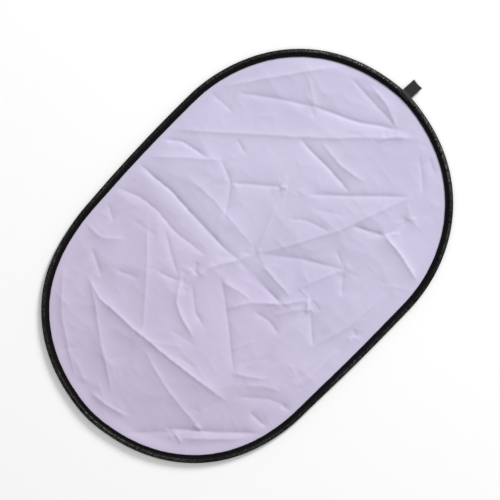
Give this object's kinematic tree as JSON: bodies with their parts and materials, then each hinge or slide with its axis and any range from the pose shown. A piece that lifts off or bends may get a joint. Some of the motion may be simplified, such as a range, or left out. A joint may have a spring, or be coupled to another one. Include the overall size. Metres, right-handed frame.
{
  "type": "collapsible reflector disc",
  "caption": "oval collapsible light reflector: white and silver cloths sewn into a dark rim binding over a sprung steel hoop that folds down into three stacked loops, with a webbing pull tab",
  "frame": {"origin": "centre of the white face, on its surface", "axes": "+Z out of the white face, +X along the oval's long axis towards the pull tab, the disc lying flat in XY"},
  "size_m": [0.9295, 0.604, 0.0104],
  "materials": {
    "black_binding": "woven tape, slight sheen",
    "spring_steel": "blued flat spring steel",
    "sleeve_steel": "plated, crimped",
    "white_cloth": "smooth satin-weave nylon, creased",
    "silver_cloth": "metallised satin-weave nylon, creased",
    "dark_thread": "polyester sewing thread",
    "tab_webbing": "flat woven webbing"
  },
  "bodies": {
    "tip": {"rim_binding_tip": "black_binding", "spring_band_tip_left": "spring_steel", "spring_band_tip_right": "spring_steel", "band_joining_sleeve": "sleeve_steel", "white_face_cloth": "white_cloth", "silver_back_cloth": "silver_cloth", "seam_thread_front": "dark_thread", "seam_thread_back": "dark_thread", "pull_tab_sewn_end": "tab_webbing", "pull_tab_bar_tacks": "dark_thread"},
    "tab": {"pull_tab_loop": "tab_webbing"},
    "hoop_left_1": {"rim_binding_left_1": "black_binding", "spring_band_left_1": "spring_steel"},
    "hoop_left_2": {"rim_binding_left_2": "black_binding", "spring_band_left_2": "spring_steel"},
    "hoop_left_3": {"rim_binding_left_3": "black_binding", "spring_band_left_3": "spring_steel"},
    "hoop_left_4": {"rim_binding_left_4": "black_binding", "spring_band_left_4": "spring_steel"},
    "hoop_left_5": {"rim_binding_left_5": "black_binding", "spring_band_left_5": "spring_steel"},
    "hoop_left_6": {"rim_binding_left_6": "black_binding", "spring_band_left_6": "spring_steel"},
    "hoop_left_7": {"rim_binding_left_7": "black_binding", "spring_band_left_7": "spring_steel"},
    "hoop_left_8": {"rim_binding_left_8": "black_binding", "spring_band_left_8": "spring_steel"},
    "hoop_right_1": {"rim_binding_right_1": "black_binding", "spring_band_right_1": "spring_steel"},
    "hoop_right_2": {"rim_binding_right_2": "black_binding", "spring_band_right_2": "spring_steel"},
    "hoop_right_3": {"rim_binding_right_3": "black_binding", "spring_band_right_3": "spring_steel"},
    "hoop_right_4": {"rim_binding_right_4": "black_binding", "spring_band_right_4": "spring_steel"},
    "hoop_right_5": {"rim_binding_right_5": "black_binding", "spring_band_right_5": "spring_steel"},
    "hoop_right_6": {"rim_binding_right_6": "black_binding", "spring_band_right_6": "spring_steel"},
    "hoop_right_7": {"rim_binding_right_7": "black_binding", "spring_band_right_7": "spring_steel"},
    "hoop_right_8": {"rim_binding_right_8": "black_binding", "spring_band_right_8": "spring_steel"}
  },
  "joints": [
    {"name": "hoop_fold_left_1", "type": "hinge", "parent": "tip", "child": "hoop_left_1", "pos_m": [0.42558, 0.06888, -0.00065], "axis": [0.026, -0.045, 0.9986], "range_deg": [0, 34.5], "stiffness_Nm_per_rad": 0.05, "deforming": ["white_face_cloth", "silver_back_cloth", "seam_thread_front", "seam_thread_back"]},
    {"name": "hoop_fold_left_2", "type": "hinge", "parent": "hoop_left_1", "child": "hoop_left_2", "pos_m": [0.36118, 0.19066, -0.00065], "axis": [0.013, -0.052, 0.9986], "range_deg": [0, 30.51], "stiffness_Nm_per_rad": 0.05},
    {"name": "hoop_fold_left_3", "type": "hinge", "parent": "hoop_left_2", "child": "hoop_left_3", "pos_m": [0.24732, 0.2682, -0.00065], "axis": [0.005, -0.055, 0.9985], "range_deg": [0, 36.51], "stiffness_Nm_per_rad": 0.05},
    {"name": "hoop_fold_left_4", "type": "hinge", "parent": "hoop_left_3", "child": "hoop_left_4", "pos_m": [0.10872, 0.286, -0.00065], "axis": [0.022, -0.029, 0.9993], "range_deg": [0, 58.51], "stiffness_Nm_per_rad": 0.05},
    {"name": "hoop_fold_left_5", "type": "hinge", "parent": "hoop_left_4", "child": "hoop_left_5", "pos_m": [-0.03624, 0.286, -0.00065], "axis": [0.038, -0.02, 0.9991], "range_deg": [0, 63.01], "stiffness_Nm_per_rad": 0.05},
    {"name": "hoop_fold_left_6", "type": "hinge", "parent": "hoop_left_5", "child": "hoop_left_6", "pos_m": [-0.1798, 0.28423, -0.00065], "axis": [0.041, -0.015, 0.999], "range_deg": [0, 43.01], "stiffness_Nm_per_rad": 0.05},
    {"name": "hoop_fold_left_7", "type": "hinge", "parent": "hoop_left_6", "child": "hoop_left_7", "pos_m": [-0.30899, 0.23639, -0.00065], "axis": [-0.038, -0.052, 0.9979], "range_deg": [0, 34.51], "stiffness_Nm_per_rad": 0.05},
    {"name": "hoop_fold_left_8", "type": "hinge", "parent": "hoop_left_7", "child": "hoop_left_8", "pos_m": [-0.40082, 0.1337, -0.00065], "axis": [-0.115, -0.013, 0.9933], "range_deg": [0, 58.51], "stiffness_Nm_per_rad": 0.05},
    {"name": "hoop_fold_right_1", "type": "hinge", "parent": "tip", "child": "hoop_right_1", "pos_m": [0.42558, -0.06888, -0.00065], "axis": [0.026, 0.045, -0.9986], "range_deg": [0, 34.51], "stiffness_Nm_per_rad": 0.05},
    {"name": "hoop_fold_right_2", "type": "hinge", "parent": "hoop_right_1", "child": "hoop_right_2", "pos_m": [0.36118, -0.19066, -0.00065], "axis": [0.013, 0.052, -0.9986], "range_deg": [0, 30.51], "stiffness_Nm_per_rad": 0.05},
    {"name": "hoop_fold_right_3", "type": "hinge", "parent": "hoop_right_2", "child": "hoop_right_3", "pos_m": [0.24732, -0.2682, -0.00065], "axis": [0.005, 0.055, -0.9985], "range_deg": [0, 36.51], "stiffness_Nm_per_rad": 0.05},
    {"name": "hoop_fold_right_4", "type": "hinge", "parent": "hoop_right_3", "child": "hoop_right_4", "pos_m": [0.10872, -0.286, -0.00065], "axis": [0.022, 0.029, -0.9993], "range_deg": [0, 58.51], "stiffness_Nm_per_rad": 0.05},
    {"name": "hoop_fold_right_5", "type": "hinge", "parent": "hoop_right_4", "child": "hoop_right_5", "pos_m": [-0.03624, -0.286, -0.00065], "axis": [0.038, 0.02, -0.9991], "range_deg": [0, 63.01], "stiffness_Nm_per_rad": 0.05},
    {"name": "hoop_fold_right_6", "type": "hinge", "parent": "hoop_right_5", "child": "hoop_right_6", "pos_m": [-0.1798, -0.28423, -0.00065], "axis": [0.041, 0.015, -0.999], "range_deg": [0, 43.01], "stiffness_Nm_per_rad": 0.05},
    {"name": "hoop_fold_right_7", "type": "hinge", "parent": "hoop_right_6", "child": "hoop_right_7", "pos_m": [-0.30899, -0.23639, -0.00065], "axis": [-0.038, 0.052, -0.9979], "range_deg": [0, 34.51], "stiffness_Nm_per_rad": 0.05},
    {"name": "hoop_fold_right_8", "type": "hinge", "parent": "hoop_right_7", "child": "hoop_right_8", "pos_m": [-0.40082, -0.1337, -0.00065], "axis": [-0.115, 0.013, -0.9933], "range_deg": [0, 58.51], "stiffness_Nm_per_rad": 0.05},
    {"name": "pull_tab_flex", "type": "hinge", "parent": "tip", "child": "tab", "pos_m": [0.4535, 0, -0.00065], "axis": [0, 1, 0], "range_deg": [-70, 70]}
  ],
  "couplings": [
    {"joint": "hoop_fold_left_2", "follows": "hoop_fold_left_1", "ratio": 0.88406},
    {"joint": "hoop_fold_left_3", "follows": "hoop_fold_left_1", "ratio": 1.058},
    {"joint": "hoop_fold_left_4", "follows": "hoop_fold_left_1", "ratio": 1.6957},
    {"joint": "hoop_fold_left_5", "follows": "hoop_fold_left_1", "ratio": 1.8261},
    {"joint": "hoop_fold_left_6", "follows": "hoop_fold_left_1", "ratio": 1.2464},
    {"joint": "hoop_fold_left_7", "follows": "hoop_fold_left_1", "ratio": 1},
    {"joint": "hoop_fold_left_8", "follows": "hoop_fold_left_1", "ratio": 1.6957},
    {"joint": "hoop_fold_right_1", "follows": "hoop_fold_left_1", "ratio": 1},
    {"joint": "hoop_fold_right_2", "follows": "hoop_fold_left_1", "ratio": 0.88406},
    {"joint": "hoop_fold_right_3", "follows": "hoop_fold_left_1", "ratio": 1.058},
    {"joint": "hoop_fold_right_4", "follows": "hoop_fold_left_1", "ratio": 1.6957},
    {"joint": "hoop_fold_right_5", "follows": "hoop_fold_left_1", "ratio": 1.8261},
    {"joint": "hoop_fold_right_6", "follows": "hoop_fold_left_1", "ratio": 1.2464},
    {"joint": "hoop_fold_right_7", "follows": "hoop_fold_left_1", "ratio": 1},
    {"joint": "hoop_fold_right_8", "follows": "hoop_fold_left_1", "ratio": 1.6957}
  ]
}
